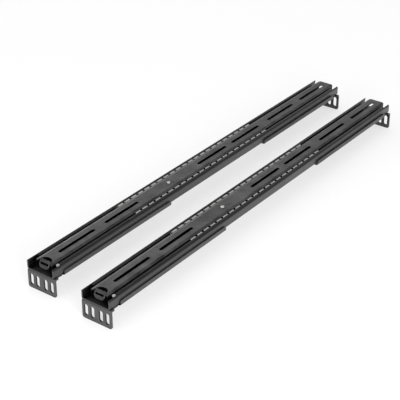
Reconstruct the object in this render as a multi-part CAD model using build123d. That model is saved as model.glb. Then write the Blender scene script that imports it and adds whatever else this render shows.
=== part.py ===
from build123d import *
import os

os.makedirs("parts", exist_ok=True)

# A pair of telescopic ball-bearing rack rails, lying on their backs side by side.
# +X runs along the rails towards the rear post, +Y to the far rail, +Z up.
# The origin is the middle of the pair's footprint, level with the feet of the end flanges.

# The pair
rail_length = 633.0
rail_pitch = 93.0
rail_stagger = 9.0

# End brackets, bent from steel sheet
bracket_width = 44.0
bracket_sheet = 2.0
flange_drop = 25.0
flange_bend_radius = 3.0
flange_corner_radius = 3.0
front_bracket_length = 220.0
rear_bracket_length = 200.0
side_wall_start = 17.0
side_wall_height = 7.2
side_wall_corner_radius = 3.0
side_wall_bevel = 1.6
web_recess = 2.6
bend_relief = 1.5

# Post slots in each flange, on the rack's hole spacing
post_slot_width = 5.5
post_slot_length = 15.0
post_slot_height = 12.0
post_outer_spacing = 31.75
post_inner_spacing = 12.7

# Outer member, a roll-formed channel with inturned lips
outer_width = 41.6
outer_height = 13.0
outer_sheet = 1.6
outer_corner_radius = 2.4
outer_end_gap = 1.5
lip_width = 4.9
front_lip_relief = 16.0
rear_lip_relief = 13.0
bracket_side_clearance = 0.2

# Balls and their two cages
ball_diameter = 7.14
ball_clearance = 0.05
ball_centre_height = 6.2
groove_depth = 0.32
ball_pitch = 13.25
cage_pads = 22
cage_lead = 13.75
cage_sheet = 0.6
cage_side_gap = 0.25
cage_pad_length = 8.65
cage_notch_depth = 0.9
cage_top_gap = 0.1
cage_foot_gap = 0.6
pocket_clearance = 0.2

# Inner member, a channel that opens downwards and carries the equipment
inner_shoulder_width = 3.4
inner_shoulder_drop = 0.4
inner_sheet = 1.6
inner_proud = 0.8
inner_foot_gap = 1.6
inner_start = 7.0
inner_end_gap = 2.0
inner_corner_radius = 3.0
chassis_slot_length = 64.5
chassis_slot_width = 4.5
slot_places_from_front = (65.0, 149.0)
slot_places_from_rear = (294.0, 216.0, 128.0, 44.0)
centre_screw_place = 243.5

# Release lever in the nose of the inner member
nose_cut_radius = 8.6
nose_cut_depth = 10.5
lever_width = 16.0
lever_sheet = 1.2
lever_pin_radius = 1.25
lever_pin_clearance = 0.05
lever_pin_place = 26.0
lever_pin_drop = 4.6
lever_hub_wall = 1.1
lever_ridge_place = 9.5
lever_ridge_height = 0.7
lever_ridge_rise = 3.0
lever_neck_length = 2.0
lever_neck_drop = 5.0
lever_nose_reach = 3.8
lever_nose_drop = 9.8
lever_nose_radius = 5.0
lever_window_width = 12.4
lever_window_height = 2.6
lever_window_drop = 3.6
lever_tail_length = 5.5

# Fasteners
rivet_radius = 2.0
rivet_head_radius = 3.8
rivet_head_height = 1.7
rivet_chamfer = 0.9
rivet_places = (45.0, 190.0)
shank_clearance = 0.05
clamp_screw_radius = 2.5
clamp_head_radius = 4.6
clamp_head_height = 3.0
clamp_head_chamfer = 0.7
clamp_socket_radius = 1.75
clamp_socket_depth = 1.6
clamp_flange_radius = 5.6
clamp_flange_thickness = 1.0
clamp_nut_radius = 4.4
clamp_nut_height = 3.0
clamp_slot_width = 5.6
clamp_places = (30.0, 60.0)
depth_travel = 125.0
stud_place = 13.0
stud_wall_gap = 0.3
stud_radius = 1.6
stud_head_radius = 2.2
stud_head_height = 1.4
stud_head_chamfer = 0.5
centre_head_radius = 2.4
centre_head_height = 1.1
centre_head_chamfer = 0.5
centre_shank_radius = 1.5
centre_shank_length = 5.0

# Heights and offsets that follow from the sizes above
web_top = flange_drop
web_bottom = web_top - bracket_sheet
half_bracket = bracket_width / 2
slide_centre = outer_width / 2 + bracket_side_clearance + bracket_sheet - half_bracket
outer_length = rail_length - outer_end_gap
outer_floor = web_top + outer_sheet
outer_top = web_top + outer_height
lip_edge = outer_width / 2 - lip_width
inner_top = outer_top + inner_proud
inner_length = rail_length - inner_end_gap - inner_start
inner_foot = outer_floor + inner_foot_gap
ball_radius = ball_diameter / 2
ball_height = web_top + ball_centre_height
groove_radius = ball_radius + ball_clearance
inner_wall = outer_width / 2 - outer_sheet
ball_offset = inner_wall + groove_depth - groove_radius
inner_half_width = ball_offset + groove_depth - groove_radius
inner_flat_half_width = inner_half_width - inner_shoulder_width
cage_length = cage_pads * ball_pitch
cage_start = (rail_length - cage_length) / 2 - cage_lead
cage_edge = lip_edge - cage_side_gap
cage_heel = cage_edge - cage_sheet
cage_pad_edge = inner_half_width + cage_side_gap
slot_places = slot_places_from_front + tuple(rail_length - place for place in slot_places_from_rear)
stud_offset = inner_wall - stud_wall_gap - stud_head_radius
rivet_length = bracket_sheet + outer_sheet


# A section on the YZ plane, drawn out along the rail
def drawn_along_rail(section, start, length):
    return extrude(Plane.YZ.offset(start) * section, amount=length)


def box_between(x, y, z):
    size = [high - low for low, high in (x, y, z)]
    middle = [(high + low) / 2 for low, high in (x, y, z)]
    return Pos(*middle) * Box(*size)


# A low round head with a bevelled rim, its seat at z = 0 and its bevel on top
def bevelled_head(radius, height, bevel):
    head = Pos(0, 0, height / 2) * Cylinder(radius, height)
    return chamfer(head.edges().group_by(Axis.Z)[-1], bevel)


# An end bracket with its flange at x = 0 and its web running towards +X
def bracket(length, web_cuts):
    side = Polyline(
        (0, 0), (0, web_top), (length, web_top), (length, web_bottom), (bracket_sheet, web_bottom),
        (bracket_sheet, 0), close=True,
    )
    strip = make_face(side)
    outer_bend = strip.vertices().sort_by_distance((0, web_top))[0]
    strip = fillet(outer_bend, flange_bend_radius)
    inner_bend = strip.vertices().sort_by_distance((bracket_sheet, web_bottom))[0]
    strip = fillet(inner_bend, flange_bend_radius - bracket_sheet)
    body = extrude(Plane.XZ.offset(-half_bracket) * strip, amount=bracket_width)
    feet = body.edges().filter_by(Axis.X).group_by(Axis.Z)[0]
    body = fillet(feet, flange_corner_radius)

    # The near edge is notched, then turned up as a low side wall
    bend_depth = bracket_sheet + flange_bend_radius / 2
    near = -half_bracket
    wall_top = web_bottom + side_wall_height
    notch_start = side_wall_start - bend_relief
    body -= box_between((notch_start, length), (near, near + bend_depth), (web_bottom, web_top))
    wall = make_face(Polyline(
        (near, wall_top), (near + bracket_sheet, wall_top), (near + bracket_sheet, web_top),
        (near + bend_depth, web_top), (near + bend_depth, web_bottom), (near, web_bottom), close=True,
    ))
    outside = wall.vertices().sort_by_distance((near, web_bottom))[0]
    wall = fillet(outside, bracket_sheet + 0.6)
    inside = wall.vertices().sort_by_distance((near + bracket_sheet, web_top))[0]
    wall = fillet(inside, 0.6)
    wall = drawn_along_rail(wall, side_wall_start, length - side_wall_start)
    wall_corners = wall.edges().filter_by(Axis.Y).group_by(Axis.Z)[-1]
    body += fillet(wall_corners, side_wall_corner_radius)
    inner_face = near + bracket_sheet
    bevel = make_face(Polyline(
        (inner_face - side_wall_bevel, wall_top), (inner_face, wall_top), (inner_face, wall_top - side_wall_bevel),
        close=True,
    ))
    body -= drawn_along_rail(bevel, side_wall_start, length - side_wall_start)
    body -= box_between((2 * flange_bend_radius, notch_start), (near, near + web_recess), (web_bottom, web_top))

    # Upright slots for the post screws
    slot = Rot(0, 0, 90) * SlotOverall(post_slot_length, post_slot_width)
    for spacing in (post_outer_spacing, post_inner_spacing):
        for across in (-spacing / 2, spacing / 2):
            body -= drawn_along_rail(Pos(across, post_slot_height) * slot, -bracket_sheet, 3 * bracket_sheet)
    for cut in web_cuts:
        body -= cut
    return body


def front_bracket():
    holes = [
        Pos(place, slide_centre, web_top) * Cylinder(rivet_radius, 3 * bracket_sheet) for place in rivet_places
    ]
    return bracket(front_bracket_length, holes)


# The rear bracket has one long slot, so that it slides along the outer member to suit the rack
def rear_bracket():
    slot_low = min(clamp_places) - clamp_slot_width / 2
    slot_high = max(clamp_places) + depth_travel + clamp_slot_width / 2
    slot = Pos((slot_low + slot_high) / 2, slide_centre) * SlotOverall(slot_high - slot_low, clamp_slot_width)
    cut = extrude(Pos(0, 0, web_bottom - bracket_sheet) * slot, amount=3 * bracket_sheet)
    return Pos(rail_length, 0, 0) * mirror(bracket(rear_bracket_length, [cut]), about=Plane.YZ)


def outer_member():
    middle = web_top + outer_height / 2
    outside = RectangleRounded(outer_width, outer_height, outer_corner_radius)
    inside = RectangleRounded(
        outer_width - 2 * outer_sheet, outer_height - 2 * outer_sheet, outer_corner_radius - outer_sheet
    )
    mouth = Pos(0, outer_height / 2) * Rectangle(2 * lip_edge, 3 * outer_sheet)
    section = Pos(slide_centre, middle) * (outside - inside - mouth)
    for side in (-1, 1):
        section -= Pos(slide_centre + side * ball_offset, ball_height) * Circle(groove_radius)
    body = drawn_along_rail(section, 0, outer_length)

    # The lips stop short of both ends
    lip_cut = (slide_centre - inner_wall, slide_centre + inner_wall)
    lip_heights = (outer_top - 1.5 * outer_sheet, outer_top + 1)
    body -= box_between((-1, front_lip_relief), lip_cut, lip_heights)
    body -= box_between((outer_length - rear_lip_relief, outer_length + 1), lip_cut, lip_heights)

    for place in rivet_places:
        body -= Pos(place, slide_centre, web_top) * Cylinder(rivet_radius, 4 * outer_sheet)
    for place in clamp_places:
        body -= Pos(rail_length - place, slide_centre, web_top) * Cylinder(clamp_screw_radius, 4 * outer_sheet)
    body -= Pos(stud_place, slide_centre - stud_offset, web_top) * Cylinder(stud_radius, 4 * outer_sheet)
    return body


def inner_member():
    shoulder_top = inner_top - inner_shoulder_drop
    inside_half = inner_half_width - inner_sheet
    outline = make_face(Polyline(
        (-inner_half_width, inner_foot), (-inner_half_width, shoulder_top), (-inner_flat_half_width, inner_top),
        (inner_flat_half_width, inner_top), (inner_half_width, shoulder_top), (inner_half_width, inner_foot),
        close=True,
    ))
    outline = fillet(outline.vertices().group_by(Axis.Y)[-2], inner_sheet / 2)
    hollow = make_face(Polyline(
        (-inside_half, inner_foot), (-inside_half, shoulder_top - inner_sheet),
        (-inner_flat_half_width, inner_top - inner_sheet), (inner_flat_half_width, inner_top - inner_sheet),
        (inside_half, shoulder_top - inner_sheet), (inside_half, inner_foot), close=True,
    ))
    section = Pos(slide_centre, 0) * (outline - hollow)
    for side in (-1, 1):
        section -= Pos(slide_centre + side * ball_offset, ball_height) * Circle(groove_radius)
    body = drawn_along_rail(section, inner_start, inner_length)

    # The rear corners are rounded in plan
    plan = Rectangle(inner_length, 2 * inner_half_width)
    plan = fillet(plan.vertices().group_by(Axis.X)[-1], inner_corner_radius)
    plan = Pos(inner_start + inner_length / 2, slide_centre, inner_foot) * plan
    body &= extrude(plan, amount=inner_top - inner_foot)

    # Long slots for the equipment's screws
    slot = SlotOverall(chassis_slot_length, chassis_slot_width)
    for place in slot_places:
        body -= extrude(Pos(place, slide_centre, inner_top - 2 * inner_sheet) * slot, amount=3 * inner_sheet)

    # A round-ended cut in the nose leaves room for the release lever
    nose = Pos(inner_start + nose_cut_depth - nose_cut_radius, slide_centre, inner_top) * Cylinder(
        nose_cut_radius, 6 * inner_sheet
    )
    body -= nose
    body -= box_between(
        (inner_start - 1, inner_start + nose_cut_depth - nose_cut_radius),
        (slide_centre - nose_cut_radius, slide_centre + nose_cut_radius),
        (inner_top - 3 * inner_sheet, inner_top + 1),
    )

    pin_height = inner_top - lever_pin_drop
    body -= Pos(lever_pin_place, slide_centre, pin_height) * Rot(90, 0, 0) * Cylinder(
        lever_pin_radius, 3 * inner_half_width
    )
    body -= Pos(centre_screw_place, slide_centre, inner_top) * Cylinder(centre_shank_radius, 4 * inner_sheet)
    return body


# One strip of the ball cage: an upright wall with pockets, and a row of pads along its top
def ball_cage(side):
    top = outer_top - cage_top_gap
    low = outer_floor + cage_foot_gap
    wall = box_between((0, cage_length), (cage_heel, cage_edge), (low, top))
    pad = box_between((0, cage_length), (cage_pad_edge, cage_edge), (top - cage_sheet, top))
    strip = wall + pad
    gap = ball_pitch - cage_pad_length
    gap_width = 3 * (cage_edge - cage_pad_edge)
    for index in range(cage_pads + 1):
        strip -= Pos(index * ball_pitch, cage_edge, top) * Box(gap, gap_width, 2 * cage_notch_depth)
    pocket = 2 * (ball_radius + pocket_clearance)
    for index in range(1, cage_pads):
        strip -= Pos(index * ball_pitch, cage_edge, ball_height) * Box(pocket, 4 * cage_sheet, pocket)
    if side < 0:
        strip = mirror(strip, about=Plane.XZ)
    return Pos(cage_start, slide_centre, 0) * strip


# Each ball is cut with 26 flats that stay within its round size
def balls():
    flat_distance = ball_radius * (1 + 2**0.5) / (5 + 2 * 2**0.5) ** 0.5
    cube = Box(2 * flat_distance, 2 * flat_distance, 2 * flat_distance)
    ball = chamfer(cube.edges(), flat_distance * (2 - 2**0.5))
    places = [cage_start + index * ball_pitch for index in range(1, cage_pads)]
    return [
        Pos(place, slide_centre + side * ball_offset, ball_height) * ball
        for side in (-1, 1) for place in places
    ]


# Release lever: a bent strip that pivots on a pin between the legs of the inner member
def release_lever():
    pin_height = inner_top - lever_pin_drop
    neck = inner_top - lever_neck_drop
    ridge = inner_top + lever_ridge_height
    half = lever_sheet / 2
    nose_place = lever_ridge_place - lever_nose_reach
    nose = inner_top - lever_nose_drop + half
    hub_radius = lever_pin_radius + lever_hub_wall
    path = Polyline(
        (lever_pin_place + lever_tail_length, pin_height), (lever_pin_place, pin_height),
        (lever_ridge_place + lever_ridge_rise + lever_neck_length, neck),
        (lever_ridge_place + lever_ridge_rise, neck),
        (lever_ridge_place, ridge - half), (nose_place, nose),
    )
    strip = trace(path, lever_sheet)
    hub = Pos(lever_pin_place, pin_height) * Circle(hub_radius)
    hole = Pos(lever_pin_place, pin_height) * Circle(lever_pin_radius + lever_pin_clearance)
    profile = strip + hub - hole
    lever = extrude(Plane.XZ.offset(-slide_centre - lever_width / 2) * profile, amount=lever_width)
    window_middle = inner_top - lever_window_drop
    lever -= box_between(
        (nose_place - lever_sheet, lever_ridge_place + lever_sheet / 2),
        (slide_centre - lever_window_width / 2, slide_centre + lever_window_width / 2),
        (window_middle - lever_window_height / 2, window_middle + lever_window_height / 2),
    )
    tip = lever.faces().sort_by_distance((nose_place, slide_centre, nose))[0]
    return fillet(tip.edges().sort_by(SortBy.LENGTH)[:2], lever_nose_radius)


def lever_pin():
    pin = Rot(90, 0, 0) * Cylinder(lever_pin_radius - 0.01, 2 * inner_half_width)
    return Pos(lever_pin_place, slide_centre, inner_top - lever_pin_drop) * pin


def front_rivets():
    shank = Pos(0, 0, rivet_length / 2) * Cylinder(rivet_radius - shank_clearance, rivet_length)
    rivet = shank + Rot(180, 0, 0) * bevelled_head(rivet_head_radius, rivet_head_height, rivet_chamfer)
    return [Pos(place, slide_centre, web_bottom) * rivet for place in rivet_places]


def clamp_screws():
    length = web_top - web_bottom + outer_sheet + clamp_nut_height
    head = bevelled_head(clamp_head_radius, clamp_head_height, clamp_head_chamfer)
    head += Pos(0, 0, clamp_flange_thickness / 2) * Cylinder(clamp_flange_radius, clamp_flange_thickness)
    socket = extrude(RegularPolygon(clamp_socket_radius, 6), amount=clamp_socket_depth)
    head -= Pos(0, 0, clamp_head_height - clamp_socket_depth) * socket
    shank = Pos(0, 0, length / 2) * Cylinder(clamp_screw_radius - shank_clearance, length)
    screw = shank + Rot(180, 0, 0) * head
    return [Pos(rail_length - place, slide_centre, web_bottom) * screw for place in clamp_places]


def clamp_nuts():
    nut = extrude(RegularPolygon(clamp_nut_radius, 6), amount=clamp_nut_height)
    nut -= Cylinder(clamp_screw_radius, 3 * clamp_nut_height)
    return [Pos(rail_length - place, slide_centre, outer_floor) * nut for place in clamp_places]


# Stud that keeps the ball cages from running out of the front
def stop_stud():
    top = outer_top
    length = top - web_top
    shank = Pos(0, 0, length / 2) * Cylinder(stud_radius - shank_clearance, length)
    head = Pos(0, 0, length - stud_head_height) * bevelled_head(
        stud_head_radius, stud_head_height, stud_head_chamfer
    )
    return Pos(stud_place, slide_centre - stud_offset, web_top) * (shank + head)


def centre_screw():
    head = bevelled_head(centre_head_radius, centre_head_height, centre_head_chamfer)
    shank = Pos(0, 0, -centre_shank_length / 2) * Cylinder(
        centre_shank_radius - shank_clearance, centre_shank_length
    )
    return Pos(centre_screw_place, slide_centre, inner_top) * (head + shank)


def rail_pieces():
    return {
        "front_bracket": front_bracket(),
        "rear_bracket": rear_bracket(),
        "outer_member": outer_member(),
        "inner_member": inner_member(),
        "ball_cage_far": ball_cage(1),
        "ball_cage_near": ball_cage(-1),
        "balls": balls(),
        "release_lever": release_lever(),
        "lever_pin": lever_pin(),
        "front_rivets": front_rivets(),
        "clamp_screws": clamp_screws(),
        "clamp_nuts": clamp_nuts(),
        "stop_stud": stop_stud(),
        "centre_screw": centre_screw(),
    }


# Rail a is the far one, rail b the near one, which stands a little further forward
rail_places = {
    "a": ((rail_stagger - rail_length) / 2, rail_pitch / 2),
    "b": (-(rail_stagger + rail_length) / 2, -rail_pitch / 2),
}
pieces = rail_pieces()
for rail, (along, across) in rail_places.items():
    for name, shape in pieces.items():
        solids = shape if isinstance(shape, list) else [shape]
        placed = [Pos(along, across, 0) * solid for solid in solids]
        node = placed[0] if len(placed) == 1 else Compound(children=placed)
        export_step(node, f"parts/{name}_{rail}.step")
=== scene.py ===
import math

import bpy
from mathutils import Matrix, Vector


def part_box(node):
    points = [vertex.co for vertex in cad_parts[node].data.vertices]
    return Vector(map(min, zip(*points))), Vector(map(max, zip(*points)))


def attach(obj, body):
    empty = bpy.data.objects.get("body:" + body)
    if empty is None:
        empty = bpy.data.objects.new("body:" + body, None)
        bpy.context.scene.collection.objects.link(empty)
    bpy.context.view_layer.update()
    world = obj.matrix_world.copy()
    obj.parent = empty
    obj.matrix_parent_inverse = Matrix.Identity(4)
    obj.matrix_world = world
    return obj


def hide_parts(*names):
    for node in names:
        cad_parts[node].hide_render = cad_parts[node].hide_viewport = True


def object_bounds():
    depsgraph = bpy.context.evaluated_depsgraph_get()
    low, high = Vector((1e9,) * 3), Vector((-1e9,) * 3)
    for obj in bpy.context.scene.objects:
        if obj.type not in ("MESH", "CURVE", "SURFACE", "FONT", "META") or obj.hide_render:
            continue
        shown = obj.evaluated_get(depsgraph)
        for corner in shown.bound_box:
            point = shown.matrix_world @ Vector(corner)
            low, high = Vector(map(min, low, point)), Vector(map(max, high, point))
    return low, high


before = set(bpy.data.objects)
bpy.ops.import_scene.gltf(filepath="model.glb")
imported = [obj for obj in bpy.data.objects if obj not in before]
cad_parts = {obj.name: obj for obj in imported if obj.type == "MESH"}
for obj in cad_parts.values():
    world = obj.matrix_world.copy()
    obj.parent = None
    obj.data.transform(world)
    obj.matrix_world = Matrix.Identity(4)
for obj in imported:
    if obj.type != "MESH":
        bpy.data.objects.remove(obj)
cad_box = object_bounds()

bl_info = {
    "name": "Rack Rail Pair",
    "version": (1, 0, 0),
    "blender": (4, 5, 0),
    "location": "View3D > Sidebar > Rack Rails",
    "description": "Dresses a pair of ball-bearing rack mounting rails and sets up a studio",
    "category": "Object",
}

mm = 0.001
rails = ("a", "b")

# Two points this near count as being in one place, and two this near are merged
same_place = 0.001 * mm
merge_distance = 0.002 * mm
# Edges shorter than this are left out where edges are picked by their direction
real_length = 0.01 * mm

# Degrees: faces that meet at less than this are merged into one flat face
flat_angle = 0.6
# Degrees: faces that meet at less than this are shaded as one smooth surface
smooth_angle = 35.0
plate_smooth_angle = 10.0
ball_smooth_angle = 60.0
# Degrees: edges sharper than this are rounded
edge_angle = 38.0
cage_edge_angle = 50.0
edge_steps = 2

# Inner member: the strip along each side that counts as its shoulder
shoulder_width = 2.2 * mm
shoulder_depth = 2.6 * mm

# Press tool of the ball cages: the ramp beside a pad, the radii of the pad's tip corners, of the
# fold across it and of its back edge, and the window cutter, whose length is in sheet thicknesses
pad_ramp = 0.35 * mm
pad_corner = 0.7 * mm
pad_fold_round = 0.35 * mm
pad_back_round = 0.4 * mm
cage_edge = 0.08 * mm
window_clearance = 0.2 * mm
window_sides = 28
window_tool_sheets = 6

# Heads of the centre screw and the stop stud
recess_reach = 1.3 * mm
recess_half_width = 0.28 * mm
recess_depth = 0.6 * mm
dimple_radius = 1.0 * mm
dimple_depth = 0.8 * mm
dimple_sides = 24

# Colours of dust, of bare metal at worn edges, and of the painted shade in corners and gaps
dust_colour = (0.42, 0.41, 0.40)
worn_coat = (0.16, 0.16, 0.165)
worn_spring_steel = (0.30, 0.30, 0.30)
worn_zinc = (0.86, 0.86, 0.84)
worn_nickel = (0.8, 0.8, 0.8)
worn_steel = (0.9, 0.9, 0.9)
painted_shade_black = (0.001, 0.001, 0.001)
# Painted shade: near-black colour for the inner members' upright sides, which stand in shadow
painted_side_shade_black = (0.004, 0.004, 0.004)

# How far a coat's colour and roughness wander, and what dust and wear do to its roughness
coat_dark, coat_light, coat_lift = 0.80, 1.25, 0.004
coat_smoother, coat_rougher = 0.05, 0.06
dust_roughness = 0.5
wear_polish = 0.12
lacquer_roughness = 0.38
grain_bump = 0.35

# The same for a plated finish
plate_dark = 0.78
plate_smoother, plate_rougher = 0.05, 0.07
mottle_roughness = 0.08
plate_wear = 0.35
plate_wear_radius = 0.3 * mm
line_bump = 0.5

# Rays of the masks that look for worn edges and for the corners that get painted shade, and the
# distances over which they fade
edge_samples = 6
corner_samples = 8
upright_blend = 4.0 * mm
top_fade = 0.5 * mm

# Sockets of the Mix node when it mixes colours
mix_factor, mix_first, mix_second, mix_result = 0, 6, 7, 2

# Studio: each lamp's name, power setting, place, aim and size
lamps = (
    ("key lamp", "key_power", (-0.2, 0.5, 2.2), (0.0, 0.0, 0.0), 2.4),
    ("back lamp", "back_power", (1.9, 3.0, 0.8), (0.0, 0.0, 0.0), 1.8),
    ("side lamp", "side_power", (-0.8, -0.9, 0.4), (-0.28, -0.05, 0.03), 0.5),
    ("front lamp", "front_power", (-1.9, 0.2, 0.55), (-0.3, 0.0, 0.0), 0.9),
)
floor_size = 30.0
floor_gap = 0.05 * mm
sensor_width = 36.0
nearest_view, farthest_view = 0.05, 60.0

# Filled by make_finishes
finishes = {}


# Settings

class RailSizes(bpy.types.PropertyGroup):
    """Sizes of the formed edges and of the parts that roll and fasten"""

    bracket_edge: bpy.props.FloatProperty(
        name="Bracket edge", description="Radius on the cut edges of the bracket sheet",
        default=0.30 * mm, min=0.0, unit="LENGTH")
    member_edge: bpy.props.FloatProperty(
        name="Member edge", description="Radius on the cut edges of the slide members",
        default=0.25 * mm, min=0.0, unit="LENGTH")
    lever_edge: bpy.props.FloatProperty(
        name="Lever edge", description="Radius on the edges of the release lever",
        default=0.18 * mm, min=0.0, unit="LENGTH")
    fastener_edge: bpy.props.FloatProperty(
        name="Fastener edge",
        description="Radius on the edges of screws, nuts, rivets, pins and studs",
        default=0.15 * mm, min=0.0, unit="LENGTH")
    ball_diameter: bpy.props.FloatProperty(
        name="Ball diameter", description="Diameter of one bearing ball",
        default=7.14 * mm, min=0.001, unit="LENGTH")
    ball_pitch: bpy.props.FloatProperty(
        name="Ball pitch", description="Distance from ball to ball along the cage",
        default=13.25 * mm, min=0.001, unit="LENGTH")
    ball_count: bpy.props.IntProperty(
        name="Balls in a row", description="Number of balls along each side of a slide",
        default=21, min=1)
    shoulder_slope: bpy.props.FloatProperty(
        name="Shoulder slope",
        description="How much further an inner member's shoulders slope down at their edges",
        default=0.4 * mm, min=0.0, unit="LENGTH")
    pad_flat: bpy.props.FloatProperty(
        name="Pad flat", description="Width of a cage pad's level top",
        default=2.1 * mm, min=0.001, unit="LENGTH")
    pad_hem: bpy.props.FloatProperty(
        name="Pad hem", description="How far a pad's inner edge is turned down",
        default=1.0 * mm, min=0.0, unit="LENGTH")
    cage_dip: bpy.props.FloatProperty(
        name="Cage dip", description="How far a cage's top edge dips between two pads",
        default=0.9 * mm, min=0.0, unit="LENGTH")
    pad_length: bpy.props.FloatProperty(
        name="Pad length", description="Length of one pad along the top of a ball cage",
        default=8.65 * mm, min=0.001, unit="LENGTH")
    cage_sheet: bpy.props.FloatProperty(
        name="Cage sheet", description="Thickness of the sheet that a ball cage is pressed from",
        default=0.6 * mm, min=0.0001, unit="LENGTH")


class RailColours(bpy.types.PropertyGroup):
    """Colours of the finishes, and the painted light on the outer members' walls"""

    powder_coat: bpy.props.FloatVectorProperty(
        name="Powder coat", description="Colour of the powder coat on the brackets",
        default=(0.038, 0.038, 0.039), min=0.0, max=1.0, subtype="COLOR")
    slide_coat: bpy.props.FloatVectorProperty(
        name="Slide coat",
        description="Colour of the thin coat on outer members, levers, rivets and clamp screws",
        default=(0.010, 0.010, 0.0105), min=0.0, max=1.0, subtype="COLOR")
    # Painted light: the outer members' upright walls get a lighter colour than their tops,
    # standing in for the light that falls on them
    painted_lit_wall: bpy.props.FloatVectorProperty(
        name="Painted lit wall", description="Colour of the coat on the outer members' upright walls",
        default=(0.032, 0.032, 0.033), min=0.0, max=1.0, subtype="COLOR")
    plate_coat: bpy.props.FloatVectorProperty(
        name="Plate coat", description="Colour of the coat on the inner members",
        default=(0.028, 0.028, 0.029), min=0.0, max=1.0, subtype="COLOR")
    zinc: bpy.props.FloatVectorProperty(
        name="Zinc plate",
        description="Colour of the bright zinc on cages, lever pins and stop studs",
        default=(0.54, 0.54, 0.53), min=0.0, max=1.0, subtype="COLOR")
    nickel: bpy.props.FloatVectorProperty(
        name="Satin nickel", description="Colour of the nickel on the centre screws",
        default=(0.62, 0.62, 0.61), min=0.0, max=1.0, subtype="COLOR")
    steel: bpy.props.FloatVectorProperty(
        name="Polished steel", description="Colour of the balls",
        default=(0.70, 0.70, 0.70), min=0.0, max=1.0, subtype="COLOR")
    floor: bpy.props.FloatVectorProperty(
        name="Floor", description="Colour of the studio floor",
        default=(0.95, 0.95, 0.95), min=0.0, max=1.0, subtype="COLOR")


class RailStudio(bpy.types.PropertyGroup):
    """Lamps and camera"""

    key_power: bpy.props.FloatProperty(
        name="Key lamp", description="Power of the large lamp above the rails",
        default=6.0, min=0.0, unit="POWER")
    front_power: bpy.props.FloatProperty(
        name="Front lamp", description="Power of the lamp that faces the front flanges",
        default=9.0, min=0.0, unit="POWER")
    back_power: bpy.props.FloatProperty(
        name="Back lamp", description="Power of the low lamp behind the far rail",
        default=9.0, min=0.0, unit="POWER")
    side_power: bpy.props.FloatProperty(
        name="Side lamp",
        description="Power of the small lamp beside the front end of the near rail",
        default=8.0, min=0.0, unit="POWER")
    room_light: bpy.props.FloatProperty(
        name="Room light", description="Strength of the even light from all around",
        default=0.95, min=0.0)
    shadow_fill: bpy.props.FloatProperty(
        name="Shadow fill",
        description="How much of the paper's own colour shows through a shadow",
        default=0.68, min=0.0, max=1.0, subtype="FACTOR")
    ceiling_shine: bpy.props.FloatProperty(
        name="Ceiling shine", description="Strength of the ceiling as the coats reflect it",
        default=0.33, min=0.0)
    camera_place: bpy.props.FloatVectorProperty(
        name="Camera place", description="Where the camera stands",
        default=(-1.1754, -0.8327, 0.8274), subtype="TRANSLATION", unit="LENGTH")
    camera_aim: bpy.props.FloatVectorProperty(
        name="Camera aim", description="The point that the camera looks at",
        default=(-0.0049, 0.0440, -0.0156), subtype="TRANSLATION", unit="LENGTH")
    camera_roll: bpy.props.FloatProperty(
        name="Camera roll", description="Turn of the camera about its line of sight",
        default=math.radians(-0.06), subtype="ANGLE")
    camera_lens: bpy.props.FloatProperty(
        name="Camera lens", description="Focal length in millimetres on a 36 mm wide sensor",
        default=111.94, min=1.0)


# Modelling helpers

def clear_selection():
    if bpy.context.mode != "OBJECT":
        bpy.ops.object.mode_set(mode="OBJECT")
    bpy.ops.object.select_all(action="DESELECT")


def take(*pieces):
    clear_selection()
    for piece in pieces:
        piece.select_set(True)
    bpy.context.view_layer.objects.active = pieces[0]


def name_active(name):
    piece = bpy.context.active_object
    piece.name = name
    piece.data.name = name
    return piece


def copy_of_node(node, name):
    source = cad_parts[node]
    piece = bpy.data.objects.new(name, source.data.copy())
    piece.data.name = name
    bpy.context.scene.collection.objects.link(piece)
    piece.data.materials.clear()
    take(piece)
    bpy.ops.object.mode_set(mode="EDIT")
    bpy.ops.mesh.select_all(action="SELECT")
    bpy.ops.mesh.remove_doubles(threshold=merge_distance)
    bpy.ops.mesh.dissolve_limited(angle_limit=math.radians(flat_angle))
    bpy.ops.object.mode_set(mode="OBJECT")
    return piece


def smooth(piece, angle=smooth_angle):
    take(piece)
    bpy.ops.object.shade_smooth_by_angle(angle=math.radians(angle))


def round_edges(piece, radius, from_angle=edge_angle):
    take(piece)
    bevel = piece.modifiers.new("Rounded edges", "BEVEL")
    bevel.width = radius
    bevel.segments = edge_steps
    bevel.limit_method = "ANGLE"
    bevel.angle_limit = math.radians(from_angle)
    bevel.use_clamp_overlap = True
    bpy.ops.object.modifier_apply(modifier=bevel.name)
    smooth(piece)


def block(name, low, high):
    clear_selection()
    middle = [(a + b) / 2 for a, b in zip(low, high)]
    bpy.ops.mesh.primitive_cube_add(size=1.0, location=middle)
    piece = name_active(name)
    piece.scale = [b - a for a, b in zip(low, high)]
    bpy.ops.object.transform_apply(location=True, rotation=True, scale=True)
    return piece


def pick(piece, kind, test):
    """Selects the faces, edges or points that pass the test, and stays in edit mode"""
    take(piece)
    bpy.ops.object.mode_set(mode="EDIT")
    bpy.ops.mesh.select_mode(type=kind)
    bpy.ops.mesh.select_all(action="DESELECT")
    bpy.ops.object.mode_set(mode="OBJECT")
    mesh = piece.data
    if kind == "FACE":
        for face in mesh.polygons:
            face.select = test(face)
    elif kind == "EDGE":
        for edge in mesh.edges:
            edge.select = test(*(mesh.vertices[index].co for index in edge.vertices))
    else:
        for point in mesh.vertices:
            point.select = test(point.co)
    bpy.ops.object.mode_set(mode="EDIT")


def slice_at(piece, point, normal):
    take(piece)
    bpy.ops.object.mode_set(mode="EDIT")
    bpy.ops.mesh.select_all(action="SELECT")
    bpy.ops.mesh.bisect(plane_co=point, plane_no=normal)
    bpy.ops.object.mode_set(mode="OBJECT")


def repeat_along(piece, step, count):
    take(piece)
    row = piece.modifiers.new("Row", "ARRAY")
    row.use_relative_offset = False
    row.use_constant_offset = True
    row.constant_offset_displace = (step, 0.0, 0.0)
    row.count = count
    row.use_merge_vertices = True
    row.merge_threshold = merge_distance
    bpy.ops.object.modifier_apply(modifier=row.name)


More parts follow.
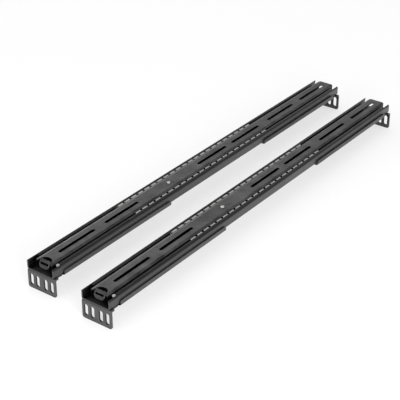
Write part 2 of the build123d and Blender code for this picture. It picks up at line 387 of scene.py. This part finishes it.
def cut_away(piece, cutter):
    take(piece)
    cut = piece.modifiers.new("Cut", "BOOLEAN")
    cut.operation = "DIFFERENCE"
    cut.solver = "EXACT"
    cut.object = cutter
    bpy.ops.object.modifier_apply(modifier=cut.name)
    bpy.data.objects.remove(cutter, do_unlink=True)


def rounded_copy(node, name, edge, shape=None):
    piece = copy_of_node(node, name)
    if shape:
        shape(piece, node)
    round_edges(piece, edge)
    return piece


def finish_piece(piece, body, finish, node):
    piece.data.materials.clear()
    piece.data.materials.append(finishes[finish])
    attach(piece, body)
    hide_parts(node)


# Shader helpers

def add(tree, kind, sockets=None, **settings):
    item = tree.nodes.new(kind)
    for key, value in settings.items():
        setattr(item, key, value)
    for socket, source in (sockets or {}).items():
        feed(tree, source, item.inputs[socket])
    return item


def feed(tree, source, socket):
    """Links a socket to its source, or writes a plain value into it"""
    if isinstance(source, bpy.types.NodeSocket):
        tree.links.new(source, socket)
    else:
        socket.default_value = source


def math_step(tree, operation, first, second, clamp=False):
    return add(tree, "ShaderNodeMath", {0: first, 1: second},
               operation=operation, use_clamp=clamp).outputs[0]


def spread(tree, value, low, high, to_low=0.0, to_high=1.0):
    item = add(tree, "ShaderNodeMapRange", {
        "Value": value, "From Min": low, "From Max": high, "To Min": to_low, "To Max": to_high},
        clamp=True)
    return item.outputs["Result"]


def mix_colours(tree, mask, first, second):
    item = add(tree, "ShaderNodeMix", data_type="RGBA")
    for index, source in ((mix_first, first), (mix_second, second)):
        plain = not isinstance(source, bpy.types.NodeSocket)
        feed(tree, (*source, 1.0) if plain else source, item.inputs[index])
    feed(tree, mask, item.inputs[mix_factor])
    return item.outputs[mix_result]


def noise(tree, place, size, detail, roughness):
    item = add(tree, "ShaderNodeTexNoise", {
        "Vector": place, "Scale": size, "Detail": detail, "Roughness": roughness})
    return item.outputs["Fac"]


def object_place(tree):
    return add(tree, "ShaderNodeTexCoord").outputs["Object"]


def axes(tree, vector):
    return add(tree, "ShaderNodeSeparateXYZ", {0: vector}).outputs


def new_group(name, inputs, outputs):
    """Starts a node group whose inputs and outputs are all plain numbers"""
    tree = bpy.data.node_groups.new(name, "ShaderNodeTree")
    for label, value in inputs.items():
        socket = tree.interface.new_socket(
            name=label, in_out="INPUT", socket_type="NodeSocketFloat")
        socket.default_value = value
    for label in outputs:
        tree.interface.new_socket(name=label, in_out="OUTPUT", socket_type="NodeSocketFloat")
    given = tree.nodes.new("NodeGroupInput").outputs
    return tree, given, tree.nodes.new("NodeGroupOutput").inputs


def use_group(tree, group, **values):
    item = tree.nodes.new("ShaderNodeGroup")
    item.node_tree = group
    for label, value in values.items():
        item.inputs[label.replace("_", " ").capitalize()].default_value = value
    return item.outputs


# Effects that more than one finish uses

def edge_wear_group():
    tree, given, out = new_group(
        "Edge wear", {"Radius": 0.5 * mm, "Patch size": 250.0, "Amount": 0.5}, ["Mask"])
    soft = add(tree, "ShaderNodeBevel", {"Radius": given["Radius"]}, samples=edge_samples)
    shape = add(tree, "ShaderNodeNewGeometry")
    turn = add(tree, "ShaderNodeVectorMath", {
        0: soft.outputs["Normal"], 1: shape.outputs["Normal"]}, operation="DOT_PRODUCT")
    edge = spread(tree, math_step(tree, "SUBTRACT", 1.0, turn.outputs["Value"]), 0.02, 0.25)
    patch = noise(tree, object_place(tree), given["Patch size"], 5.0, 0.62)
    worn = math_step(tree, "MULTIPLY", edge, spread(tree, patch, 0.42, 0.66))
    feed(tree, math_step(tree, "MULTIPLY", worn, given["Amount"], clamp=True), out["Mask"])
    return tree


def coat_grain_group():
    tree, given, out = new_group(
        "Coat grain", {"Grain size": 1400.0, "Mottle size": 60.0}, ["Height", "Mottle"])
    place = object_place(tree)
    fine = noise(tree, place, given["Grain size"], 3.0, 0.55)
    peel = add(tree, "ShaderNodeTexVoronoi", {
        "Vector": place, "Scale": math_step(tree, "MULTIPLY", given["Grain size"], 0.7)},
        feature="SMOOTH_F1")
    height = math_step(tree, "ADD", math_step(tree, "MULTIPLY", fine, 0.6),
                       math_step(tree, "MULTIPLY", peel.outputs["Distance"], 0.6))
    mottle = noise(tree, place, given["Mottle size"], 4.0, 0.6)
    feed(tree, height, out["Height"])
    feed(tree, spread(tree, mottle, 0.3, 0.7), out["Mottle"])
    return tree


def dust_group():
    tree, given, out = new_group("Dust", {"Patch size": 35.0, "Amount": 0.1}, ["Mask"])
    facing = axes(tree, add(tree, "ShaderNodeNewGeometry").outputs["Normal"])
    patch = noise(tree, object_place(tree), given["Patch size"], 6.0, 0.7)
    mask = math_step(tree, "MULTIPLY", spread(tree, facing["Z"], 0.5, 0.95),
                     spread(tree, patch, 0.4, 0.75))
    feed(tree, math_step(tree, "MULTIPLY", mask, given["Amount"], clamp=True), out["Mask"])
    return tree


def painted_corner_shade_group():
    """Marks painted shade: the inside of the piece below its top height, and narrow gaps to any
    piece
    """
    tree, given, out = new_group(
        "Deep corners",
        {"Inside reach": 22 * mm, "Gap reach": 3 * mm, "Top height": 1.0, "Amount": 0.9}, ["Mask"])
    height = axes(tree, object_place(tree))["Z"]
    fade_start = math_step(tree, "SUBTRACT", given["Top height"], top_fade)
    below = spread(tree, height, fade_start, given["Top height"], 1.0, 0.0)
    inside = add(tree, "ShaderNodeAmbientOcclusion", {"Distance": given["Inside reach"]},
                 samples=corner_samples, only_local=True)
    gap = add(tree, "ShaderNodeAmbientOcclusion", {"Distance": given["Gap reach"]},
              samples=corner_samples)
    covered = spread(tree, inside.outputs["AO"], 0.72, 0.98, 1.0, 0.0)
    narrow = spread(tree, gap.outputs["AO"], 0.35, 0.80, 1.0, 0.0)
    shut = math_step(tree, "MAXIMUM", math_step(tree, "MULTIPLY", covered, below), narrow)
    feed(tree, math_step(tree, "MULTIPLY", shut, given["Amount"], clamp=True), out["Mask"])
    return tree


def painted_light_upright_group():
    """Marks upright walls and faces that slope a little from level, for painted light and shade"""
    tree, given, out = new_group("Upright faces", {"Amount": 1.0}, ["Mask", "Slope"])
    soft = add(tree, "ShaderNodeBevel", {"Radius": upright_blend}, samples=edge_samples)
    upright = spread(tree, axes(tree, soft.outputs["Normal"])["Z"], 0.02, 0.40, 1.0, 0.0)
    tilt = axes(tree, add(tree, "ShaderNodeNewGeometry").outputs["True Normal"])
    feed(tree, math_step(tree, "MULTIPLY", upright, given["Amount"], clamp=True), out["Mask"])
    feed(tree, spread(tree, tilt["Z"], 0.975, 0.995, 1.0, 0.0), out["Slope"])
    return tree


def drawn_lines_group():
    tree, given, out = new_group(
        "Drawn lines", {"Line size": 2200.0, "Stretch": 0.02}, ["Height", "Streak"])
    axis = axes(tree, object_place(tree))
    along = math_step(tree, "MULTIPLY", axis["X"], given["Stretch"])
    drawn = add(tree, "ShaderNodeCombineXYZ", {"X": along, "Y": axis["Y"], "Z": axis["Z"]})
    lines = noise(tree, drawn.outputs[0], given["Line size"], 3.0, 0.6)
    feed(tree, lines, out["Height"])
    feed(tree, spread(tree, lines, 0.35, 0.65), out["Streak"])
    return tree


# Finishes

def start_material(name):
    material = bpy.data.materials.new(name)
    material.use_nodes = True
    tree = material.node_tree
    return material, tree, tree.nodes["Principled BSDF"].inputs


def bump(tree, shader, height, strength, distance):
    item = add(tree, "ShaderNodeBump", {
        "Strength": strength, "Distance": distance, "Height": height})
    feed(tree, item.outputs["Normal"], shader["Normal"])


def coat_finish(name, groups, colour, roughness, specular=0.5, grain=1400.0, grain_depth=0.02 * mm,
                wear=0.4, wear_radius=0.5 * mm, worn_colour=worn_coat, dust=0.10,
                painted_upright_colour=None, upright_shine=0.0, upright_shade_dulling=0.0, painted_slope_shade=0.0,
                corner_top=1.0, gap_reach=3 * mm):
    material, tree, shader = start_material(name)
    worn = use_group(tree, groups["edge"], radius=wear_radius, amount=wear)
    grained = use_group(tree, groups["grain"], grain_size=grain)
    dusty = use_group(tree, groups["dust"], amount=dust)
    corner = use_group(tree, groups["corner"], gap_reach=gap_reach, top_height=corner_top)
    # Painted shade: the corner mask also sets Metallic, which with the near-black colour takes the
    # shine out of corners and gaps
    shade_dulling = corner["Mask"]
    light = tuple(min(1.0, coat_light * c + coat_lift) for c in colour)
    dark = tuple(coat_dark * c for c in colour)
    coat = mix_colours(tree, grained["Mottle"], dark, light)
    # Painted light and shade on uprights: walls that stand up take the given upright colour
    # instead of the coat, lighter or darker than the tops, and can lose their shine
    if painted_upright_colour:
        upright = use_group(tree, groups["upright"])
        # Painted shade: faces that slope a little from level are painted darker by the given slope
        # amount
        shaded_slope_coat = tuple((1.0 - painted_slope_shade) * c for c in colour)
        coat = mix_colours(tree, upright["Slope"], coat, shaded_slope_coat)
        coat = mix_colours(tree, upright["Mask"], coat, painted_upright_colour)
        side_shade_dulling = math_step(tree, "MULTIPLY", upright["Mask"], upright_shade_dulling)
        shade_dulling = math_step(tree, "MAXIMUM", shade_dulling, side_shade_dulling)
        lacquer = math_step(tree, "MULTIPLY", upright["Mask"], upright_shine)
        feed(tree, lacquer, shader["Coat Weight"])
        shader["Coat Roughness"].default_value = lacquer_roughness
    coat = mix_colours(tree, dusty["Mask"], coat, dust_colour)
    coat = mix_colours(tree, worn["Mask"], coat, worn_colour)
    # Painted shade: corners and narrow gaps are coloured near-black
    coat = mix_colours(tree, corner["Mask"], coat, painted_shade_black)
    rough = spread(tree, grained["Mottle"], 0.0, 1.0,
                   roughness - coat_smoother, roughness + coat_rougher)
    dusting = math_step(tree, "MULTIPLY", dusty["Mask"], dust_roughness)
    polish = math_step(tree, "MULTIPLY", worn["Mask"], wear_polish)
    rough = math_step(tree, "ADD", rough, dusting)
    rough = math_step(tree, "SUBTRACT", rough, polish, clamp=True)
    feed(tree, coat, shader["Base Color"])
    feed(tree, shade_dulling, shader["Metallic"])
    feed(tree, rough, shader["Roughness"])
    shader["Specular IOR Level"].default_value = specular
    bump(tree, shader, grained["Height"], grain_bump, grain_depth)
    return material


def plated_finish(name, groups, colour, roughness, worn_colour, line_depth=0.004 * mm,
                  metallic=1.0):
    material, tree, shader = start_material(name)
    lines = use_group(tree, groups["lines"])
    grained = use_group(tree, groups["grain"], grain_size=900.0, mottle_size=180.0)
    worn = use_group(tree, groups["edge"], radius=plate_wear_radius, amount=plate_wear)
    skin = mix_colours(tree, grained["Mottle"], tuple(plate_dark * c for c in colour), colour)
    skin = mix_colours(tree, worn["Mask"], skin, worn_colour)
    rough = spread(tree, lines["Streak"], 0.0, 1.0,
                   roughness - plate_smoother, roughness + plate_rougher)
    mottled = math_step(tree, "MULTIPLY", grained["Mottle"], mottle_roughness)
    rough = math_step(tree, "ADD", rough, mottled, clamp=True)
    feed(tree, skin, shader["Base Color"])
    feed(tree, rough, shader["Roughness"])
    shader["Metallic"].default_value = metallic
    bump(tree, shader, lines["Height"], line_bump, line_depth)
    return material


def make_finishes():
    colours = bpy.context.scene.rail_colours
    groups = {"edge": edge_wear_group(), "grain": coat_grain_group(), "dust": dust_group(),
              "lines": drawn_lines_group(), "corner": painted_corner_shade_group(),
              "upright": painted_light_upright_group()}
    powder, thin = tuple(colours.powder_coat), tuple(colours.slide_coat)
    plate, wall = tuple(colours.plate_coat), tuple(colours.painted_lit_wall)
    zinc, nickel, steel = tuple(colours.zinc), tuple(colours.nickel), tuple(colours.steel)
    return {
        "powder": coat_finish("Black powder coat", groups, powder, 0.42),
        # Outer member: its upright walls are painted lighter than its tops (painted light) and get
        # extra gloss, and its inside below the lip tops is painted near-black (painted shade)
        "channel": coat_finish(
            "Black coat on outer member", groups, thin, 0.42, specular=0.28, grain=1900.0,
            grain_depth=0.012 * mm, dust=0.02, painted_upright_colour=wall, upright_shine=0.5,
            corner_top=36.4 * mm, gap_reach=0.9 * mm),
        # Inner member: its upright sides are painted near-black with their shine taken away, and
        # its sloping shoulders are painted darker; both are painted shade
        "plate": coat_finish(
            "Black coat on inner member", groups, plate, 0.40, specular=0.8, grain=1900.0,
            grain_depth=0.012 * mm, dust=0.14, painted_upright_colour=painted_side_shade_black, upright_shade_dulling=1.0,
            painted_slope_shade=0.85),
        "rivet": coat_finish("Black rivet", groups, thin, 0.36, grain=1800.0, wear=0.8),
        "lever": coat_finish(
            "Black spring steel", groups, thin, 0.34, grain=2200.0, grain_depth=0.006 * mm,
            wear=0.9, wear_radius=0.4 * mm, worn_colour=worn_spring_steel),
        "black": coat_finish(
            "Black oxide", groups, thin, 0.38, grain=2200.0, grain_depth=0.006 * mm, wear=0.7),
        "zinc": plated_finish("Bright zinc", groups, zinc, 0.34, worn_zinc, metallic=0.6),
        "nickel": plated_finish("Satin nickel", groups, nickel, 0.38, worn_nickel, metallic=0.4),
        "steel": plated_finish(
            "Polished steel", groups, steel, 0.16, worn_steel, line_depth=0.001 * mm),
    }


# Pieces

class RAILS_OT_brackets(bpy.types.Operator):
    """Rounds the cut edges of the front and rear brackets and powder coats them"""

    bl_idname = "rails.brackets"
    bl_label = "Brackets"

    def execute(self, context):
        edge = context.scene.rail_sizes.bracket_edge
        for rail in rails:
            for end, body in (("front", "rails"), ("rear", f"rear_bracket_{rail}")):
                node = f"{end}_bracket_{rail}"
                piece = rounded_copy(node, f"coated_{node}", edge)
                finish_piece(piece, body, "powder", node)
        return {"FINISHED"}


class RAILS_OT_slide_members(bpy.types.Operator):
    """Slopes the inner members' shoulders, rounds all the members' cut edges and coats them"""

    bl_idname = "rails.slide_members"
    bl_label = "Slide members"

    def execute(self, context):
        edge = context.scene.rail_sizes.member_edge
        for rail in rails:
            node = f"outer_member_{rail}"
            piece = rounded_copy(node, f"coated_{node}", edge)
            finish_piece(piece, "rails", "channel", node)
            node = f"inner_member_{rail}"
            piece = rounded_copy(node, f"coated_{node}", edge, self.slope_shoulders)
            smooth(piece, plate_smooth_angle)
            finish_piece(piece, f"inner_{rail}", "plate", node)
        return {"FINISHED"}

    def slope_shoulders(self, piece, node):
        low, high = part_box(node)
        middle = (low.y + high.y) / 2
        start = (high.y - middle) - shoulder_width
        pick(piece, "VERT",
             lambda point: abs(point.y - middle) > start and point.z > high.z - shoulder_depth)
        bpy.ops.transform.translate(value=(0, 0, -bpy.context.scene.rail_sizes.shoulder_slope))
        bpy.ops.object.mode_set(mode="OBJECT")


class RAILS_OT_ball_cages(bpy.types.Operator):
    """Presses the ball cages: an upright strip with windows, and a row of pads along its top"""

    bl_idname = "rails.ball_cages"
    bl_label = "Ball cages"

    def execute(self, context):
        sizes = context.scene.rail_sizes
        for rail in rails:
            balls_low, balls_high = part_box(f"balls_{rail}")
            ball_height = (balls_low.z + balls_high.z) / 2
            for side in ("far", "near"):
                node = f"ball_cage_{side}_{rail}"
                piece = self.press(node, side, sizes, ball_height)
                finish_piece(piece, f"cages_{rail}", "zinc", node)
        return {"FINISHED"}

    def press(self, node, side, sizes, ball_height):
        low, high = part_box(node)
        pitch = sizes.ball_pitch
        sheet = sizes.cage_sheet
        count = round((high.x - low.x) / pitch)
        top = high.z
        far = side == "far"
        inward = -1.0 if far else 1.0
        back, tip = (high.y, low.y) if far else (low.y, high.y)
        crest = back + inward * sizes.pad_flat
        wall = sorted((back, back + inward * sheet))
        middle = low.x + pitch / 2
        pad_start = middle - sizes.pad_length / 2
        pad_end = middle + sizes.pad_length / 2

        # One pitch of the strip, sliced at the pad's ends and below its top
        piece = block(f"pressed_{node}", (low.x, wall[0], low.z), (low.x + pitch, wall[1], top))
        for place in (pad_start - pad_ramp, pad_start, pad_end, pad_end + pad_ramp):
            slice_at(piece, (place, 0, 0), (1, 0, 0))
        slice_at(piece, (0, 0, top - sheet), (0, 0, 1))

        # The pad: a level top and an inner edge that is turned down
        pick(piece, "FACE",
             lambda face: face.normal.y * inward > 0.9 and face.center.z > top - sheet
             and pad_start < face.center.x < pad_end)
        level = crest - back - inward * sheet
        for move in ((0, level, 0), (0, tip - crest, -sizes.pad_hem)):
            bpy.ops.mesh.extrude_region_move(TRANSFORM_OT_translate={"value": move})
        self.round_pad(piece, pad_corner, 4, lambda a, b: (
            self.both(a.y, b.y, tip) and abs(a.x - b.x) < same_place
            and abs(a.z - b.z) > real_length))
        self.round_pad(piece, pad_fold_round, 3, lambda a, b: (
            self.both(a.y, b.y, crest) and abs(a.x - b.x) > real_length))
        self.round_pad(piece, pad_back_round, 3, lambda a, b: (
            self.both(a.y, b.y, back) and self.both(a.z, b.z, top)
            and pad_start - same_place < min(a.x, b.x) and max(a.x, b.x) < pad_end + same_place))

        # The dip between two pads
        pick(piece, "VERT",
             lambda point: point.z > top - sheet - real_length
             and not pad_start - pad_ramp / 2 < point.x < pad_end + pad_ramp / 2)
        bpy.ops.transform.translate(value=(0, 0, -sizes.cage_dip))
        bpy.ops.object.mode_set(mode="OBJECT")
        repeat_along(piece, pitch, count)

        # The windows, halfway between the pads, with a ball in each
        clear_selection()
        bpy.ops.mesh.primitive_cylinder_add(
            vertices=window_sides, radius=sizes.ball_diameter / 2 + window_clearance,
            depth=window_tool_sheets * sheet,
            location=(low.x + pitch, (wall[0] + wall[1]) / 2, ball_height),
            rotation=(math.pi / 2, 0, 0))
        window = name_active("window")
        bpy.ops.object.transform_apply(location=True, rotation=True, scale=True)
        repeat_along(window, pitch, count - 1)
        cut_away(piece, window)
        round_edges(piece, cage_edge, from_angle=cage_edge_angle)
        return piece

    def both(self, first, second, place):
        return abs(first - place) < same_place and abs(second - place) < same_place

    def round_pad(self, piece, radius, steps, test):
        pick(piece, "EDGE", test)
        bpy.ops.mesh.bevel(offset=radius, segments=steps, affect="EDGES")


class RAILS_OT_balls(bpy.types.Operator):
    """Turns the rows of polished balls"""

    bl_idname = "rails.balls"
    bl_label = "Balls"

    def execute(self, context):
        sizes = context.scene.rail_sizes
        for rail in rails:
            low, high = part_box(f"balls_{rail}")
            row = (sizes.ball_count - 1) * sizes.ball_pitch
            start = (low.x + high.x) / 2 - row / 2
            reach = ((high.x - low.x) - row) / 2
            sides = []
            for y in (low.y + reach, high.y - reach):
                clear_selection()
                bpy.ops.mesh.primitive_ico_sphere_add(
                    subdivisions=3, radius=sizes.ball_diameter / 2,
                    location=(start, y, (low.z + high.z) / 2))
                ball = name_active(f"ball_row_{rail}")
                bpy.ops.object.transform_apply(location=True, rotation=True, scale=True)
                repeat_along(ball, sizes.ball_pitch, sizes.ball_count)
                sides.append(ball)
            take(*sides)
            bpy.ops.object.join()
            piece = name_active(f"round_balls_{rail}")
            smooth(piece, ball_smooth_angle)
            finish_piece(piece, f"cages_{rail}", "steel", f"balls_{rail}")
        return {"FINISHED"}


class RAILS_OT_release_levers(bpy.types.Operator):
    """Rounds the edges of the release levers and their pins"""

    bl_idname = "rails.release_levers"
    bl_label = "Release levers"

    def execute(self, context):
        sizes = context.scene.rail_sizes
        for rail in rails:
            node = f"release_lever_{rail}"
            lever = rounded_copy(node, f"spring_lever_{rail}", sizes.lever_edge)
            finish_piece(lever, f"lever_{rail}", "lever", node)
            node = f"lever_pin_{rail}"
            pin = rounded_copy(node, f"turned_pin_{rail}", sizes.fastener_edge)
            finish_piece(pin, f"inner_{rail}", "zinc", node)
        return {"FINISHED"}


class RAILS_OT_fasteners(bpy.types.Operator):
    """Finishes the rivets, clamp screws, nuts, stop studs and centre screws"""

    bl_idname = "rails.fasteners"
    bl_label = "Fasteners"

    def execute(self, context):
        edge = context.scene.rail_sizes.fastener_edge
        for rail in rails:
            for kind, body, finish, slot, shape in (
                    ("front_rivets", "rails", "rivet", "black_coat", None),
                    ("clamp_screws", "rails", "black", "black_coat", None),
                    ("clamp_nuts", "rails", "black", "black_coat", None),
                    ("stop_stud", "rails", "zinc", "ball_steel", self.dimple),
                    ("centre_screw", f"inner_{rail}", "nickel", "ball_steel", self.cross_recess)):
                node = f"{kind}_{rail}"
                piece = rounded_copy(node, f"finished_{node}", edge, shape)
                finish_piece(piece, body, finish, node)
        return {"FINISHED"}

    def cross_recess(self, piece, node):
        low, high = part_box(node)
        x, y = (low.x + high.x) / 2, (low.y + high.y) / 2
        for half_x, half_y in (
                (recess_reach, recess_half_width), (recess_half_width, recess_reach)):
            bar = block("recess", (x - half_x, y - half_y, high.z - recess_depth),
                        (x + half_x, y + half_y, high.z + recess_depth))
            cut_away(piece, bar)

    def dimple(self, piece, node):
        low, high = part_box(node)
        clear_selection()
        bpy.ops.mesh.primitive_cone_add(
            vertices=dimple_sides, radius1=0.0, radius2=dimple_radius, depth=dimple_depth,
            location=((low.x + high.x) / 2, (low.y + high.y) / 2, high.z))
        cone = name_active("dimple")
        bpy.ops.object.transform_apply(location=True, rotation=True, scale=True)
        cut_away(piece, cone)


# Studio

class RAILS_OT_studio(bpy.types.Operator):
    """Lays the floor, hangs the lamps and places the camera"""

    bl_idname = "rails.studio"
    bl_label = "Studio"

    def execute(self, context):
        studio = context.scene.rail_studio
        self.floor(context, studio)
        self.room(context, studio)
        for name, power, place, aim, size in lamps:
            self.lamp(context, name, getattr(studio, power), place, aim, size)
        self.camera(context, studio)
        context.scene.view_settings.view_transform = "Standard"
        return {"FINISHED"}

    def floor(self, context, studio):
        """Lays pale paper that keeps the rails' shadow and glows a little in view"""
        clear_selection()
        bpy.ops.mesh.primitive_plane_add(
            size=floor_size, location=(0, 0, cad_box[0][2] - floor_gap))
        floor = name_active("studio_floor")
        material, tree, shader = start_material("Floor paper")
        colour = tuple(context.scene.rail_colours.floor)
        fibre = noise(tree, object_place(tree), 3.0, 2.0, 0.5)
        tone = mix_colours(tree, fibre, tuple(0.995 * c for c in colour), colour)
        feed(tree, tone, shader["Base Color"])
        shader["Roughness"].default_value = 0.9
        shader["Specular IOR Level"].default_value = 0.1
        paths = add(tree, "ShaderNodeLightPath").outputs
        seen = math_step(tree, "MAXIMUM", paths["Is Camera Ray"], paths["Is Glossy Ray"])
        seen = math_step(tree, "MAXIMUM", seen, paths["Is Transmission Ray"])
        glow = add(tree, "ShaderNodeEmission", {"Color": tone, "Strength": 1.0})
        blend = add(tree, "ShaderNodeMixShader", {
            0: math_step(tree, "MULTIPLY", seen, studio.shadow_fill),
            1: tree.nodes["Principled BSDF"].outputs[0], 2: glow.outputs[0]})
        feed(tree, blend.outputs[0], tree.nodes["Material Output"].inputs["Surface"])
        floor.data.materials.append(material)

    def room(self, context, studio):
        """Lights the room evenly, and gives reflections a ceiling that darkens towards the top"""
        world = bpy.data.worlds.new("Studio room")
        context.scene.world = world
        world.use_nodes = True
        tree = world.node_tree
        tree.nodes.clear()
        paths = add(tree, "ShaderNodeLightPath").outputs
        height = axes(tree, add(tree, "ShaderNodeTexCoord").outputs["Generated"])["Z"]
        ceiling = spread(tree, height, 0.05, 0.50, 1.0, studio.ceiling_shine)
        zenith = spread(tree, height, 0.55, 0.85, 1.0, 0.15)
        ceiling = math_step(tree, "MULTIPLY", ceiling, zenith)
        shine = math_step(tree, "MULTIPLY", ceiling, paths["Is Glossy Ray"])
        even = spread(tree, paths["Is Glossy Ray"], 0.0, 1.0, studio.room_light, 0.0)
        strength = math_step(tree, "MAXIMUM", paths["Is Camera Ray"],
                             math_step(tree, "ADD", shine, even))
        sky = add(tree, "ShaderNodeBackground", {
            "Color": (1.0, 1.0, 1.0, 1.0), "Strength": strength})
        add(tree, "ShaderNodeOutputWorld", {0: sky.outputs[0]})

    def lamp(self, context, name, power, place, aim, size):
        data = bpy.data.lights.new(name, "AREA")
        data.shape = "DISK"
        data.size = size
        data.energy = power
        lamp = bpy.data.objects.new(name, data)
        lamp.location = place
        lamp.rotation_euler = (Vector(aim) - Vector(place)).to_track_quat("-Z", "Y").to_euler()
        context.scene.collection.objects.link(lamp)

    def camera(self, context, studio):
        data = bpy.data.cameras.new("camera")
        data.lens = studio.camera_lens
        data.sensor_width = sensor_width
        data.clip_start = nearest_view
        data.clip_end = farthest_view
        camera = bpy.data.objects.new("camera", data)
        place = Vector(studio.camera_place)
        view = Vector(studio.camera_aim) - place
        turn = view.to_track_quat("-Z", "Y").to_matrix().to_4x4()
        turn = turn @ Matrix.Rotation(studio.camera_roll, 4, "Z")
        camera.matrix_world = Matrix.Translation(place) @ turn
        context.scene.collection.objects.link(camera)
        context.scene.camera = camera


class RAILS_PT_panel(bpy.types.Panel):
    """Lists the sizes, the colours and the steps"""

    bl_idname = "RAILS_PT_panel"
    bl_label = "Rack Rails"
    bl_space_type = "VIEW_3D"
    bl_region_type = "UI"
    bl_category = "Rack Rails"

    def draw(self, context):
        layout = self.layout
        scene = context.scene
        for group in (scene.rail_sizes, scene.rail_colours, scene.rail_studio):
            box = layout.box()
            for name in group.__annotations__:
                box.prop(group, name)
        column = layout.column(align=True)
        for step in steps:
            column.operator(f"rails.{step}")


classes = (RailSizes, RailColours, RailStudio, RAILS_OT_brackets, RAILS_OT_slide_members,
           RAILS_OT_ball_cages, RAILS_OT_balls, RAILS_OT_release_levers, RAILS_OT_fasteners,
           RAILS_OT_studio, RAILS_PT_panel)
steps = ("brackets", "slide_members", "ball_cages", "balls", "release_levers", "fasteners",
         "studio")


def register():
    for item in classes:
        bpy.utils.register_class(item)
    bpy.types.Scene.rail_sizes = bpy.props.PointerProperty(type=RailSizes)
    bpy.types.Scene.rail_colours = bpy.props.PointerProperty(type=RailColours)
    bpy.types.Scene.rail_studio = bpy.props.PointerProperty(type=RailStudio)


def unregister():
    del bpy.types.Scene.rail_studio
    del bpy.types.Scene.rail_colours
    del bpy.types.Scene.rail_sizes
    for item in reversed(classes):
        bpy.utils.unregister_class(item)


def main():
    register()
    finishes.update(make_finishes())
    for step in steps:
        getattr(bpy.ops.rails, step)()


if __name__ == "__main__":
    main()
